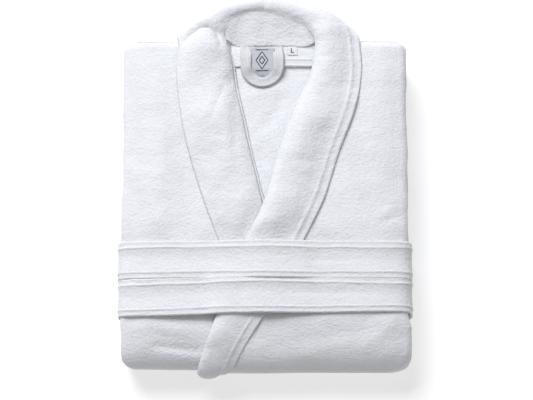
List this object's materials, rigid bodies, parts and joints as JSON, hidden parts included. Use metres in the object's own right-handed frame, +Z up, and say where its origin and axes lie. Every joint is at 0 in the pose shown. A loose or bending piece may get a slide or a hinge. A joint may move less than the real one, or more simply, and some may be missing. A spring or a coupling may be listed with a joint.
{
  "type": "folded bathrobe",
  "caption": "Folded white terry bathrobe with a shawl collar, a hanging loop in the neck and a belt wound round it.",
  "frame": {"origin": "middle of the bounding box, at the surface that the folded robe lies on", "axes": "+Z up out of the folded front, +Y from the bottom fold to the collar, +X the wearer's left"},
  "size_m": [0.3586, 0.4742, 0.092],
  "materials": {
    "terry": "cotton terry velour, soft cut pile",
    "binding": "plain woven cotton tape",
    "woven_label": "woven satin label with a plain line motif",
    "size_tab": "woven satin tab with a size letter"
  },
  "bodies": {
    "robe": {"back_panel": "terry", "left_front_panel": "terry", "right_front_panel": "terry", "left_sleeve": "terry", "right_sleeve": "terry", "left_cuff": "terry", "right_cuff": "terry", "left_collar": "terry", "right_collar": "terry", "left_pocket": "terry", "right_pocket": "terry", "left_pocket_welt": "terry", "right_pocket_welt": "terry", "left_seam_binding": "binding", "right_seam_binding": "binding", "back_neck_facing": "terry", "neck_tape": "binding", "neck_label": "woven_label", "left_belt_loop": "binding", "right_belt_loop": "binding"},
    "belt": {"belt": "terry"},
    "hanging_loop": {"hanging_loop": "terry"},
    "size_tab": {"size_tab": "size_tab"}
  },
  "joints": [
    {"name": "belt_slide", "type": "slide", "parent": "robe", "child": "belt", "axis": [0, -1, 0], "range_m": [0, 0.17]},
    {"name": "loop_swing", "type": "hinge", "parent": "robe", "child": "hanging_loop", "pos_m": [-0.0036, 0.17615, 0.0732], "axis": [-1, 0, 0], "range_deg": [0, 120]},
    {"name": "size_tab_swing", "type": "hinge", "parent": "robe", "child": "size_tab", "pos_m": [0.034, 0.17215, 0.0691], "axis": [-1, 0, 0], "range_deg": [0, 110]}
  ]
}
